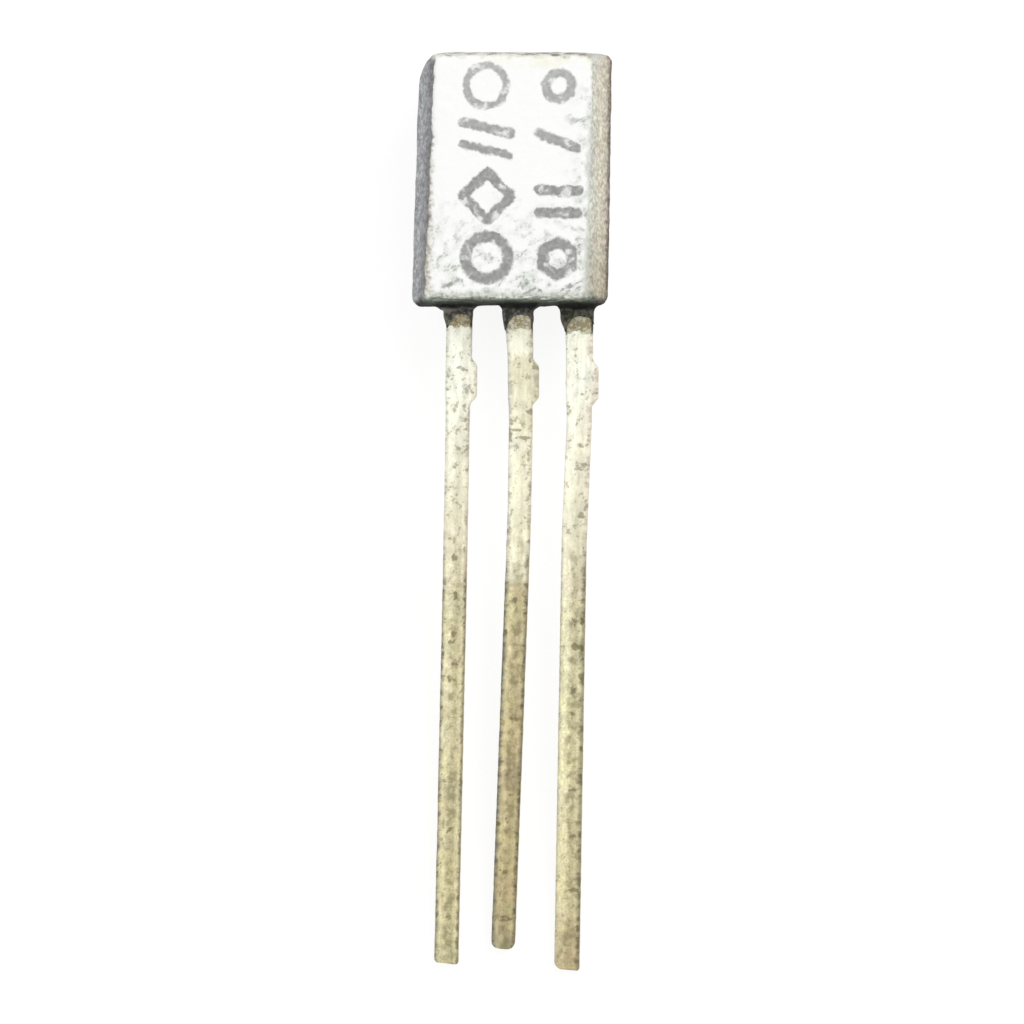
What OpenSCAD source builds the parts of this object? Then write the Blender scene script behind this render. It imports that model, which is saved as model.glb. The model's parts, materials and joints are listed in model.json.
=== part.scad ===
// Small-signal transistor in a three-lead moulded case, with its lead frame, chip and bond wires.
//
// Each piece is drawn upright in the case's own frame: X runs across the flat face, Y runs up from
// the lower edge of the case, and Z points out of the flat face, with Z = 0 at the mould's parting
// plane, which is also the middle of the sheet that the leads are stamped from. lying_down() then
// lays the whole part on its round back, as it comes to rest: it touches the ground with the lower
// edge of the back and the tips of the two outer leads, and the flat face looks up.

/* [Case] */
// Width of the case at the parting plane, which is also the diameter of its round back
case_w = 4.12; // [3.9:0.02:4.8]
// Height of the case without its collars
case_h = 5.38; // [4.9:0.02:5.6]
// Width of the flat face, before its edges are rounded
flat_w = 3.34; // [3:0.02:3.6]
// Depth of the front half, from the parting plane to the flat face
front_d = 1.4; // [1.15:0.05:1.7]
// Draft angle of the top and bottom walls, both in the front half and in the back half
end_draft = 5.5; // [4:0.5:9]
// Rounding of the edges round the flat face
flat_edge_r = 0.1; // [0.04:0.02:0.16]
// Rounding of the parting outline's corners
corner_r = 0.18; // [0.1:0.02:0.3]
// Rounding of the parting outline's corner at the mould gate, top left
gate_r = 0.76; // [0.4:0.02:0.8]
// Height of the chip off the parting outline's lower right corner
chip_h = 0.2; // [0.1:0.02:0.3]

/* [Collars] */
// Length of a collar down the left edge of its lead
collar_long = 0.56; // [0.4:0.02:0.7]
// Length of a collar down the right edge of its lead
collar_edge = 0.4; // [0.36:0.02:0.56]
// Length of a collar down its lead's two faces, where it is shortest
collar_short = 0.2; // [0.16:0.02:0.3]
// How far that place is to the right of the lead's middle
collar_crest = 0.12; // [0:0.02:0.14]
// How far a collar stands out to the left of its lead, at its root
collar_left = 0.11; // [0.06:0.01:0.18]
// How far a collar stands out to the right of its lead, at its root
collar_right = 0.03; // [0.03:0.01:0.1]
// How far a collar stands out in front of its lead and behind it, at its root
collar_face = 0.12; // [0.06:0.01:0.2]
// Thickness of the resin at the end of a collar
collar_skin = 0.02; // [0.02:0.01:0.05]
// Rounding where a collar meets the case
collar_root_r = 0.09; // [0.04:0.01:0.09]

/* [Lead row] */
// Distance between the leads where they leave the case
pitch = 1.27; // [1.22:0.01:1.3]
// Distance of the middle lead to the right of the case's own middle
row_offset = 0.19; // [0.1:0.01:0.22]
// Thickness of the sheet that the leads are stamped from
lead_t = 0.38; // [0.3:0.01:0.45]
// Width of a lead below its stub
lead_w = 0.54; // [0.4:0.01:0.56]
// Width of a lead above its stub and through the wall of the case
shoulder_w = 0.58; // [0.57:0.01:0.66]
// Distance from the case to the stub that is left of the cut tie bar
stub_y = 1.12; // [0.9:0.02:1.6]
// Length of the stub along the lead
stub_len = 0.96; // [0.7:0.02:1.2]
// How far the stub stands out of the right edge of the lead
stub_out = 0.12; // [0.05:0.01:0.2]
// Length of the slope at each end of the stub
stub_slope = 0.16; // [0.08:0.01:0.25]

/* [Lead tips] */
// Length of the collector lead below the case
collector_len = 13.93; // [10:0.01:15]
// Length of the base lead below the case
base_len = 13.6; // [10:0.01:15]
// Length of the emitter lead below the case
emitter_len = 14.02; // [10:0.01:15]
// How much shorter a lead is at its left edge than at its right, from a cut that isn't square
tip_slant = 0.04; // [0:0.01:0.1]
// Rounding of the collector tip's left corner
collector_tip_r = 0.09; // [0.02:0.01:0.18]
// Rounding of both corners of the base tip
base_tip_r = 0.15; // [0.02:0.01:0.18]
// Rounding of the emitter tip's left corner
emitter_tip_r = 0.17; // [0.02:0.01:0.18]
// Rounding of the outer tips' right corners
sharp_tip_r = 0.04; // [0.02:0.01:0.1]

/* [Lead frame inside the case] */
// Height of the chip paddle's lower edge above the lower edge of the case
paddle_y = 2.5; // [2.3:0.05:2.7]
// Width of the chip paddle
paddle_w = 1.8; // [1.5:0.02:1.9]
// Height of the chip paddle
paddle_h = 1.75; // [1.2:0.05:1.9]
// How far the paddle stands out to the left of the collector lead
paddle_lip = 0.07; // [0:0.01:0.12]
// Gap between the paddle and the heads of the other two leads
post_gap = 0.42; // [0.3:0.02:0.5]
// Width of the base lead's head
base_head_w = 0.9; // [0.7:0.02:1]
// Height of the base lead's head
base_head_h = 0.6; // [0.4:0.02:0.8]
// Height of the emitter lead's head
emitter_head_h = 0.95; // [0.6:0.05:1.3]
// Rounding of the corners of the paddle and of the heads
stamp_r = 0.1; // [0.04:0.01:0.14]

/* [Chip] */
// Side of the square silicon chip
die_side = 0.46; // [0.3:0.01:0.7]
// Thickness of the silicon chip
die_t = 0.2; // [0.12:0.01:0.3]
// Thickness of the solder under the chip
attach_t = 0.03; // [0.02:0.01:0.06]
// How far the solder spreads past the chip on each side
attach_spread = 0.04; // [0.01:0.01:0.08]
// Distance of each bond pad from the chip's middle, along X and along Y
pad_offset = 0.11; // [0.08:0.01:0.13]

/* [Bond wires] */
// Diameter of a bond wire
wire_d = 0.04; // [0.025:0.005:0.05]
// Rise of a wire's loop above the straight line between its two ends
loop_h = 0.42; // [0.3:0.02:0.6]
// Diameter of the bond at each end of a wire
bond_d = 0.1; // [0.08:0.01:0.12]
// Thickness of the bond at each end of a wire
bond_t = 0.03; // [0.02:0.005:0.05]

/* [Hidden] */

// How far each lead has been bent sideways at a distance below the case: [distance, bend]
collector_bend = [[0, 0], [6, -0.015], [15, -0.075]];
base_bend = [[0, 0], [2.4, 0.055], [4.4, 0.055], [15, -0.18]];
emitter_bend = [[0, 0], [2.4, 0.03], [5, -0.04], [15, -0.055]];

arc_steps = 6;    // flat steps in each rounded corner of an outline
wire_rings = 20;  // rings along a bond wire
wire_sides = 10;  // sides of a bond wire
trim_gap = 0.01;  // how far the parting outline clears the walls that it doesn't trim
seat = 0.15;      // how far a collar is rooted in the case

case_r = case_w / 2;
reach = case_w + case_h;
shoulder = shoulder_w / 2;
stub_end = stub_y + stub_len;
collector_x = row_offset - pitch;
base_x = row_offset;
emitter_x = row_offset + pitch;
collar_root_reach = 1.5 * collar_root_r;
chip_x = emitter_x + shoulder + collar_right + collar_root_reach;

paddle_left = collector_x - shoulder - paddle_lip;
paddle_right = paddle_left + paddle_w;
base_head_top = paddle_y - post_gap;
emitter_head_left = paddle_right + post_gap;
emitter_head_right = emitter_x + shoulder;

sheet_top = lead_t / 2;
die_mid = [(paddle_left + paddle_right) / 2, paddle_y + paddle_h / 2];
die_top = sheet_top + attach_t + die_t;
base_stitch = [base_x, base_head_top - base_head_h / 2];
emitter_stitch = [(emitter_head_left + emitter_head_right) / 2, paddle_y + emitter_head_h / 2];

// The lean at which the back's lower edge and the longest tip reach the ground together
back_edge_y = case_r * tan(end_draft);
longest = max(collector_len, emitter_len);
lean = atan((case_r - lead_t / 2) / (longest + back_edge_y));
ground_z = -longest * sin(lean) - lead_t / 2 * cos(lean);
rear_y = (case_h - back_edge_y) * cos(lean) + case_r * sin(lean);
rim_y = case_h * cos(lean);
tip_y = -longest * cos(lean) - lead_t / 2 * sin(lean);
middle_y = (max(rear_y, rim_y) + tip_y) / 2;

function unit(v) = v / norm(v);
function xy(p) = [p[0], p[1]];
function turn(a) = a > 180 ? a - 360 : a < -180 ? a + 360 : a;

// The arc of radius r that rounds the corner p between its neighbours before and after
function corner_arc(before, p, after, r) =
    let (
        u = unit(before - p),
        v = unit(after - p),
        half = acos(u * v) / 2,
        middle = p + unit(u + v) * r / sin(half),
        first = p + u * r / tan(half) - middle,
        last = p + v * r / tan(half) - middle,
        start = atan2(first[1], first[0]),
        sweep = turn(atan2(last[1], last[0]) - start)
    )
    [for (i = [0:arc_steps]) middle + r * [cos(start + sweep * i / arc_steps), sin(start + sweep * i / arc_steps)]];

// An outline of corners [x, y, radius], with each corner rounded by its radius
function rounded(corners) =
    let (n = len(corners))
    [
        for (i = [0:n - 1])
            each corners[i][2] > 0
                ? corner_arc(xy(corners[(i + n - 1) % n]), xy(corners[i]), xy(corners[(i + 1) % n]), corners[i][2])
                : [xy(corners[i])]
    ];

// Lays the upright part on its round back, over the origin
module lying_down() {
    translate([0, -middle_y, -ground_z]) rotate([lean, 0, 0]) children();
}

// An outline in the plane of the flat face, as a plate from z_low to z_high
module plate(z_low, z_high) {
    translate([0, 0, z_low]) linear_extrude(height = z_high - z_low) children();
}

// A side outline, drawn as [depth, height], drawn out across the case
module across(width) {
    translate([width / 2, 0, 0]) rotate([0, -90, 0]) linear_extrude(height = width) children();
}

// ---- Case ----

// The case from above: a half round back and a front half whose sides close in to the flat face
module plan_outline() {
    intersection() {
        circle(r = case_r, $fn = 96);
        translate([-case_r, 0]) square([case_w, case_r]);
    }
    polygon(rounded([
        [-case_r, 0, 0],
        [-flat_w / 2, -front_d, flat_edge_r],
        [flat_w / 2, -front_d, flat_edge_r],
        [case_r, 0, 0]
    ]));
}

// The case from its side, as [depth, height]: both halves are drafted from the parting plane
module side_outline() {
    front_y = front_d * tan(end_draft);
    polygon(rounded([
        [0, 0, 0],
        [front_d, front_y, flat_edge_r],
        [front_d, case_h - front_y, flat_edge_r],
        [0, case_h, 0],
        [-case_r, case_h - back_edge_y, 0],
        [-case_r, back_edge_y, 0]
    ]));
}

// The case from the front: the corners of the parting outline, with the gate's and the chipped one
module front_outline() {
    edge = case_r + trim_gap;
    polygon(rounded([
        [-edge, -trim_gap, corner_r],
        [chip_x, -trim_gap, 0],
        [edge, chip_h, corner_r / 2],
        [edge, case_h + trim_gap, corner_r],
        [-edge, case_h + trim_gap, gate_r]
    ]));
}

// The block that the two halves of the mould make together
module case_block() {
    intersection() {
        translate([0, -reach / 2, 0]) rotate([-90, 0, 0]) linear_extrude(height = 2 * reach) plan_outline();
        across(2 * reach) side_outline();
        plate(-reach, reach) front_outline();
    }
}

// One collar from the front: it runs down both edges of the lead, and less far down its faces
module collar_outline() {
    root_left = -shoulder - collar_left;
    root_right = shoulder + collar_right;
    polygon(rounded([
        [root_left - collar_root_reach, seat, 0],
        [root_left - collar_root_reach, 0, 0],
        [root_left, 0, collar_root_r],
        [root_left + collar_skin, -collar_short, collar_root_r],
        [-shoulder - collar_skin, -collar_long, 0],
        [-shoulder + collar_skin, -collar_long, 0],
        [collar_crest, -collar_short, collar_root_r],
        [shoulder - collar_skin, -collar_edge, 0],
        [shoulder + collar_skin, -collar_edge, 0],
        [root_right, 0, collar_root_r],
        [root_right + collar_root_reach, 0, 0],
        [root_right + collar_root_reach, seat, 0]
    ]));
}

// One collar from its side, as [depth, height]: it thins down to a skin of resin
module collar_side() {
    root = lead_t / 2 + collar_face;
    end = lead_t / 2 + collar_skin;
    polygon([[-root, seat], [root, seat], [root, 0], [end, -collar_long], [-end, -collar_long], [-root, 0]]);
}

module collar() {
    intersection() {
        plate(-case_r, case_r) collar_outline();
        across(2 * reach) collar_side();
    }
}

// ---- Stamped lead frame ----

// How far a lead's middle is from its place in the row at distance d below the case
function bend_at(bend, d) = d <= 0 ? 0 : lookup(d, bend);

// The distances below the stub at which a lead bends
function bend_stations(bend, length) = [for (b = bend) if (b[0] > stub_end && b[0] < length - lead_w) b[0]];

// Corner of a lead's outline at distance d below the case, with the edge at offset from its middle
function edge_at(x, bend, d, offset, r = 0) = [x + bend_at(bend, d) + offset, -d, r];

// One lead up to its head or paddle: neck, shoulder, stub of the tie bar, narrower leg and cut tip
module leg(x, top, bend, length, left_r, right_r) {
    leg = lead_w / 2;
    stations = bend_stations(bend, length);
    last = len(stations) - 1;
    polygon(rounded([
        [x - shoulder, top, 0],
        edge_at(x, bend, 0, -shoulder),
        edge_at(x, bend, stub_end - stub_slope, -shoulder),
        edge_at(x, bend, stub_end + stub_slope, -leg),
        for (d = stations) edge_at(x, bend, d, -leg),
        edge_at(x, bend, length - tip_slant, -leg, left_r),
        edge_at(x, bend, length, leg, right_r),
        for (i = [0:1:last]) edge_at(x, bend, stations[last - i], leg),
        edge_at(x, bend, stub_end, leg),
        edge_at(x, bend, stub_end - stub_slope, shoulder + stub_out),
        edge_at(x, bend, stub_y + stub_slope, shoulder + stub_out),
        edge_at(x, bend, stub_y, shoulder),
        edge_at(x, bend, 0, shoulder),
        [x + shoulder, top, 0]
    ]));
}

// A stamped rectangle with rounded corners
module stamped(left, low, right, high) {
    polygon(rounded([[left, low, stamp_r], [right, low, stamp_r], [right, high, stamp_r], [left, high, stamp_r]]));
}

// The collector lead ends in the paddle that carries the chip
module collector_shape() {
    plate(-sheet_top, sheet_top) {
        leg(collector_x, paddle_y + stamp_r, collector_bend, collector_len, collector_tip_r, sharp_tip_r);
        stamped(paddle_left, paddle_y, paddle_right, paddle_y + paddle_h);
    }
}

// The base lead ends in a head below the paddle
module base_shape() {
    plate(-sheet_top, sheet_top) {
        leg(base_x, base_head_top - stamp_r, base_bend, base_len, base_tip_r, base_tip_r);
        stamped(base_x - base_head_w / 2, base_head_top - base_head_h, base_x + base_head_w / 2, base_head_top);
    }
}

// The emitter lead ends in a head beside the paddle
module emitter_shape() {
    plate(-sheet_top, sheet_top) {
        leg(emitter_x, paddle_y + stamp_r, emitter_bend, emitter_len, emitter_tip_r, sharp_tip_r);
        stamped(emitter_head_left, paddle_y, emitter_head_right, paddle_y + emitter_head_h);
    }
}

// ---- Chip and bond wires ----

module square_plate(side, z_low, z_high) {
    translate([die_mid[0], die_mid[1], (z_low + z_high) / 2]) cube([side, side, z_high - z_low], center = true);
}

module attach_shape() {
    square_plate(die_side + 2 * attach_spread, sheet_top, sheet_top + attach_t);
}

module die_shape() {
    square_plate(die_side, sheet_top + attach_t, die_top);
}

// Point of a wire's loop for u from 0 to 1: straight up off the chip, over, and down to its head
function loop_point(from, to, z_from, z_to, u) =
    let (level = from + (to - from) * u * u, peak = 3 * sqrt(3) / 2)
    [level[0], level[1], z_from + (z_to - z_from) * u * u + loop_h * peak * u * (1 - u * u)];

// One bond wire: a round wire on a smooth loop, with a flat round bond at each end
module bond_wire(from, to) {
    z_from = die_top + bond_t / 2;
    z_to = sheet_top + bond_t / 2;
    side = unit([from[1] - to[1], to[0] - from[0], 0]);
    step = 1 / (2 * wire_rings);
    rings = [
        for (i = [0:wire_rings])
            let (
                u = i / wire_rings,
                here = loop_point(from, to, z_from, z_to, u),
                ahead = loop_point(from, to, z_from, z_to, min(u + step, 1)),
                behind = loop_point(from, to, z_from, z_to, max(u - step, 0)),
                across = i == 0 ? cross(side, [0, 0, 1]) : cross(side, unit(ahead - behind))
            )
            for (k = [0:wire_sides - 1])
                let (a = 360 * k / wire_sides)
                here + wire_d / 2 * (cos(a) * side + sin(a) * across)
    ];
    end = wire_rings * wire_sides;
    polyhedron(
        points = rings,
        faces = [
            [for (k = [0:wire_sides - 1]) k],
            for (i = [0:wire_rings - 1])
                for (k = [0:wire_sides - 1])
                    let (a = i * wire_sides + k, b = i * wire_sides + (k + 1) % wire_sides)
                    each [[a, a + wire_sides, b + wire_sides], [a, b + wire_sides, b]],
            [for (k = [wire_sides - 1:-1:0]) end + k]
        ]
    );
    translate([from[0], from[1], die_top]) cylinder(d = bond_d, h = bond_t, $fn = 32);
    translate([to[0], to[1], sheet_top]) cylinder(d = bond_d, h = bond_t, $fn = 32);
}

module base_wire_shape() {
    bond_wire(die_mid - [pad_offset, pad_offset], base_stitch);
}

module emitter_wire_shape() {
    bond_wire(die_mid + [pad_offset, pad_offset], emitter_stitch);
}

// ---- The pieces ----

// Moulded resin case: it fills every space round the lead frame, the chip and the wires
module case() {
    color([0.9, 0.9, 0.88]) lying_down() difference() {
        union() {
            case_block();
            for (x = [collector_x, base_x, emitter_x]) translate([x, 0, 0]) collar();
        }
        collector_shape();
        base_shape();
        emitter_shape();
        attach_shape();
        die_shape();
        base_wire_shape();
        emitter_wire_shape();
    }
}

module collector_lead() {
    color([0.84, 0.82, 0.68]) lying_down() collector_shape();
}

module base_lead() {
    color([0.79, 0.76, 0.6]) lying_down() base_shape();
}

module emitter_lead() {
    color([0.85, 0.82, 0.7]) lying_down() emitter_shape();
}

module die_attach() {
    color([0.7, 0.7, 0.68]) lying_down() attach_shape();
}

module die() {
    color([0.3, 0.32, 0.38]) lying_down() die_shape();
}

module base_bond_wire() {
    color([0.95, 0.76, 0.3]) lying_down() base_wire_shape();
}

module emitter_bond_wire() {
    color([0.95, 0.76, 0.3]) lying_down() emitter_wire_shape();
}

case();
collector_lead();
base_lead();
emitter_lead();
die_attach();
die();
base_bond_wire();
emitter_bond_wire();
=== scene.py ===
"""A small-signal transistor lying as it comes to rest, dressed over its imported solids.

Sizes are in millimetres in the case's own upright frame: X runs across the flat face, Y runs up
from the lower edge of the case, and Z points out of the flat face, with Z = 0 at the mould's
parting plane. RestPose turns that frame into the row frame, in metres, where the part lies on its
round back.
"""

import json
import logging
import math
from dataclasses import dataclass, field
from enum import Enum
from typing import Callable, Iterable, Sequence, Union

import bmesh
import bpy
from mathutils import Matrix, Vector, noise


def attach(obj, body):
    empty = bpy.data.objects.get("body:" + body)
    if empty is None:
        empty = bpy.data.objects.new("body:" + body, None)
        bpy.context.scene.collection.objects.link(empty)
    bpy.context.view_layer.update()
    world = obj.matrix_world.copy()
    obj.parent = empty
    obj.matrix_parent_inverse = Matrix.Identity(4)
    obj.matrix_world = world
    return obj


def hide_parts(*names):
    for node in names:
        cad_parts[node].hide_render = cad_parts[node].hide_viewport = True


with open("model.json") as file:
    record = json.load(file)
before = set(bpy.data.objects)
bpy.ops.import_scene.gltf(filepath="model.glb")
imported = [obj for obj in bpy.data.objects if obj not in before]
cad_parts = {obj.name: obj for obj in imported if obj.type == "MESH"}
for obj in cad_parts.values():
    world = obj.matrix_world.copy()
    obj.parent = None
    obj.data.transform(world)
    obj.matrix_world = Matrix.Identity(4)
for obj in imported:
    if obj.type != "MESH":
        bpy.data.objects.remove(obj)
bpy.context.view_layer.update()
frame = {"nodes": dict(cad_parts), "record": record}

LOG = logging.getLogger("transistor")
BODY = "root"
MM = 0.001  # One millimetre, in metres.
PIN_DROP = 3.0  # How far below the case the record measures the pins.
MERGE = 0.0005  # Corners that are nearer than this are one.
EVEN = (1.0, 1.0, 1.0)  # For a pattern that isn't stretched.
WHITE = [1.0, 1.0, 1.0, 1.0]

Shade = tuple[int, int, int]
Stops = tuple[tuple[float, Shade], ...]
Span = tuple[float, float]
Pull = tuple[tuple[float, float, float], tuple[float, float, float]]
Socket = bpy.types.NodeSocket
Source = Union[Socket, float, Shade, list]
Noisy = tuple[Source, float]


def paint(shade: Shade) -> tuple[float, float, float, float]:
    """Turns a shade as it is seen on a screen into the linear colour that a shader takes.

    Args:
        shade: Red, green and blue from 0 to 255.

    Returns:
        The linear colour with full cover.
    """
    parts = [c / 255 for c in shade]
    linear = [c / 12.92 if c <= 0.04045 else ((c + 0.055) / 1.055) ** 2.4 for c in parts]
    return (linear[0], linear[1], linear[2], 1.0)


def ease(value: float, start: float, end: float) -> float:
    """Rises smoothly from 0 at start to 1 at end, or falls where end is the smaller."""
    share = min(max((value - start) / (end - start), 0.0), 1.0)
    return share * share * (3 - 2 * share)


def feed(tree: bpy.types.NodeTree, socket: Socket, value: Source) -> None:
    """Links a socket to another one, or sets its own value.

    Args:
        tree: The node tree that the socket is in.
        socket: The socket that takes the value.
        value: Another node's output, a number, a shade, or a list for a vector or linear colour.
    """
    if isinstance(value, Socket):
        tree.links.new(value, socket)
    else:
        socket.default_value = paint(value) if isinstance(value, tuple) else value


def add_node(
    tree: bpy.types.NodeTree, kind: str, sockets: dict, **traits: object
) -> bpy.types.Node:
    """Adds a node to a tree.

    Args:
        tree: The tree.
        kind: The node's type, without the ShaderNode that it begins with.
        sockets: What its inputs take, by name or number.
        **traits: Its own settings, which come first.

    Returns:
        The node.
    """
    node = tree.nodes.new(f"ShaderNode{kind}")
    for name, value in traits.items():
        setattr(node, name, value)
    for name, value in sockets.items():
        feed(tree, node.inputs[name], value)
    return node


def add_object(name: str, data: bpy.types.ID) -> bpy.types.Object:
    """Puts a mesh, a lamp or a camera into the scene, at the origin.

    Args:
        name: Name of the object.
        data: The mesh, lamp or camera.

    Returns:
        The object.
    """
    made = bpy.data.objects.new(name, data)
    bpy.context.scene.collection.objects.link(made)
    return made


@dataclass(frozen=True)
class RestPose:
    """How the upright part lies in the row frame.

    Args:
        lean: Angle of the flat face from the horizontal, in radians.
        origin: Where the upright frame's origin lies, in metres.
    """

    lean: float
    origin: Vector

    @classmethod
    def from_record(cls, record: dict) -> "RestPose":
        """Reads the pose from the record's own mounts.

        Args:
            record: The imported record.

        Returns:
            The pose of the part at rest.
        """
        mounts = {mount["name"]: mount for mount in record["mounts"]}
        axis = mounts["front_flat"]["axis"]
        lean = math.atan2(-axis[1], axis[2])
        pin = Vector(mounts["base_pin"]["pos_m"])
        below_case = Vector((pin.x, -PIN_DROP * MM, 0.0))
        return cls(lean, pin - Matrix.Rotation(lean, 3, "X") @ below_case)

    @property
    def to_row(self) -> Matrix:
        """The matrix from upright millimetres to the row frame in metres."""
        turned = Matrix.Translation(self.origin) @ Matrix.Rotation(self.lean, 4, "X")
        return turned @ Matrix.Scale(MM, 4)

    @property
    def to_upright(self) -> Matrix:
        """The matrix from the row frame in metres to upright millimetres."""
        return self.to_row.inverted()


class Recipe:
    """The node tree of one material, written one ingredient at a time."""

    def __init__(self, name: str, rest: RestPose) -> None:
        """Starts a material whose patterns are laid out in upright millimetres.

        Args:
            name: Name of the material.
            rest: The pose that the piece lies in.
        """
        self.material = bpy.data.materials.new(name)
        self.material.use_nodes = True
        self.tree = self.material.node_tree
        self.shader = self.tree.nodes["Principled BSDF"]
        place = self.node("TexCoord", {}).outputs["Object"]
        self.where = self.mapped(place, [rest.lean, 0.0, 0.0], [MM] * 3, rest.origin)
        self.x, self.y, self.z = self.node("SeparateXYZ", {0: self.where}).outputs

    def node(self, kind: str, sockets: dict, **traits: object) -> bpy.types.Node:
        """Adds a node to the material, as add_node does."""
        return add_node(self.tree, kind, sockets, **traits)

    def mapped(
        self, place: Socket, turn: list, size: list, origin: Sequence = (0.0, 0.0, 0.0)
    ) -> Socket:
        """Lays a pattern out in a turned and stretched frame.

        Args:
            place: The place to start from.
            turn: The frame's angles, in radians.
            size: The length of one unit along each of its axes.
            origin: The frame's origin.

        Returns:
            The place in that frame.
        """
        sockets = {"Vector": place, "Location": list(origin), "Rotation": turn, "Scale": size}
        return self.node("Mapping", sockets, vector_type="TEXTURE").outputs["Vector"]

    def calc(self, how: str, *terms: Source) -> Socket:
        """One step of arithmetic, by the Math node's own name for it."""
        return self.node("Math", dict(enumerate(terms)), operation=how).outputs[0]

    def times(self, one: Source, other: Source) -> Socket:
        """Two values multiplied."""
        return self.calc("MULTIPLY", one, other)

    def line(self, value: Source, slope: Source, start: Source) -> Socket:
        """A value times a slope, from a start."""
        return self.calc("MULTIPLY_ADD", value, slope, start)

    def higher(self, one: Source, other: Source) -> Socket:
        """The higher of two values."""
        return self.calc("MAXIMUM", one, other)

    def away(self, value: Source, middle: float = 0.0) -> Socket:
        """How far a value is from a middle, either way."""
        off = self.calc("SUBTRACT", value, middle) if middle else value
        return self.calc("ABSOLUTE", off)

    def mask(self, value: Source, start: Source, end: float) -> Socket:
        """Rises smoothly from 0 where value is start to 1 where it is end.

        Args:
            value: What is measured.
            start: The value that gives 0.
            end: The value that gives 1.

        Returns:
            The mask.
        """
        sockets = {"Value": value, "From Min": start, "From Max": end}
        return self.node("MapRange", sockets, interpolation_type="SMOOTHSTEP").outputs["Result"]

    def grain(
        self, scale: float, detail: float = 2.0, stretch: tuple = EVEN, turn: float = 0.0,
        out: str = "Fac",
    ) -> Socket:
        """Noise from 0 to 1 over the piece.

        Args:
            scale: Number of features in a millimetre.
            detail: Number of finer layers.
            stretch: How many times longer a feature is along each of its own axes.
            turn: Angle in degrees by which those axes turn on the flat face.
            out: Fac for a number, or Color for patches of all hues.

        Returns:
            The noise.
        """
        place = self.where
        if stretch != EVEN:
            place = self.mapped(place, [0.0, 0.0, math.radians(turn)], list(stretch))
        sockets = {"Vector": place, "Scale": scale, "Detail": detail}
        return self.node("TexNoise", sockets).outputs[out]

    def swing(self, value: Source, *noises: Noisy) -> Source:
        """Adds noises to a value, so that what it bounds has a ragged edge.

        Args:
            value: The value that bounds something.
            *noises: Each noise, with how far it may carry the value, both ways together.

        Returns:
            The ragged value.
        """
        for noise_out, reach in noises:
            value = self.line(self.calc("SUBTRACT", noise_out, 0.5), reach, value)
        return value

    def blotted(self, colour: Source, *noises: Noisy) -> Source:
        """Makes a colour lighter and darker by noises.

        Args:
            colour: The colour.
            *noises: Each noise, with how far it carries the brightness, both ways together.

        Returns:
            The blotchy colour.
        """
        for noise_out, reach in noises:
            gain = self.swing(1.0, (self.mask(noise_out, 0.34, 0.66), reach))
            colour = self.mix(1.0, colour, gain, "MULTIPLY")
        return colour

    def tinged(self, colour: Source, scale: float, share: Source) -> Socket:
        """Gives a colour faint patches of other hues.

        Args:
            colour: The colour.
            scale: Number of patches in a millimetre.
            share: How strongly they show.

        Returns:
            The tinged colour.
        """
        return self.mix(share, colour, self.grain(scale, out="Color"), "OVERLAY")

    def mix(self, share: Source, base: Source, over: Source, how: str = "MIX") -> Socket:
        """Lays one colour over another.

        Args:
            share: How much of the upper colour shows.
            base: The lower colour.
            over: The upper colour.
            how: The blend of the Mix node.

        Returns:
            The mixed colour.
        """
        sockets = {"Factor": share, 6: base, 7: over}
        return self.node("Mix", sockets, data_type="RGBA", blend_type=how).outputs[2]

    def ramp(self, value: Source, stops: Sequence[tuple[float, Shade]]) -> Socket:
        """Runs through shades as a value rises.

        Args:
            value: The value, which rises from 0 to 1.
            stops: Each place with its shade, in rising order.

        Returns:
            The colour.
        """
        node = self.node("ValToRGB", {"Fac": value})
        elements = node.color_ramp.elements
        while len(elements) < len(stops):
            elements.new(1.0)
        for element, (place, shade) in zip(elements, stops):
            element.position = place
            element.color = paint(shade)
        return node.outputs["Color"]

    def attribute(self, name: str) -> Socket:
        """Reads a number that the mesh carries at its points."""
        return self.node("Attribute", {}, attribute_name=name).outputs["Fac"]

    def relief(self, height: Source, depth: float, strength: float) -> None:
        """Gives the surface a fine relief.

        Args:
            height: Height from 0 to 1.
            depth: Height in millimetres that 1 stands for.
            strength: Share of the relief that shows.
        """
        sockets = {"Strength": strength, "Distance": depth * MM, "Height": height}
        feed(self.tree, self.shader.inputs["Normal"], self.node("Bump", sockets).outputs["Normal"])

    def finish(
        self, colour: Source, roughness: Source, metallic: float = 0.0
    ) -> bpy.types.Material:
        """Feeds the shader and hands the material over.

        Args:
            colour: The base colour.
            roughness: The roughness.
            metallic: 1 for bare metal.

        Returns:
            The finished material.
        """
        feed(self.tree, self.shader.inputs["Base Color"], colour)
        feed(self.tree, self.shader.inputs["Roughness"], roughness)
        self.shader.inputs["Metallic"].default_value = metallic
        return self.material


# ---- Shapes ----


def upright_copy(node: str, rest: RestPose) -> bmesh.types.BMesh:
    """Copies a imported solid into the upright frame, with its loose triangles merged.

    Args:
        node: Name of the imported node.
        rest: The pose that it lies in.

    Returns:
        The copy, in millimetres.
    """
    shape = bmesh.new()
    shape.from_mesh(frame["nodes"][node].data)
    shape.transform(rest.to_upright)
    bmesh.ops.remove_doubles(shape, verts=shape.verts, dist=MERGE)
    return shape


def wrap(points: Iterable[Vector], into: bmesh.types.BMesh) -> None:
    """Adds the closed convex skin round some points to a shape.

    Args:
        points: The points, in millimetres.
        into: The shape that takes the skin.
    """
    made = bmesh.ops.convex_hull(into, input=[into.verts.new(point) for point in points])
    inside = set(made["geom_interior"] + made["geom_unused"])
    spare = [part for part in inside if isinstance(part, bmesh.types.BMVert)]
    bmesh.ops.delete(into, geom=spare, context="VERTS")


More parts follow.
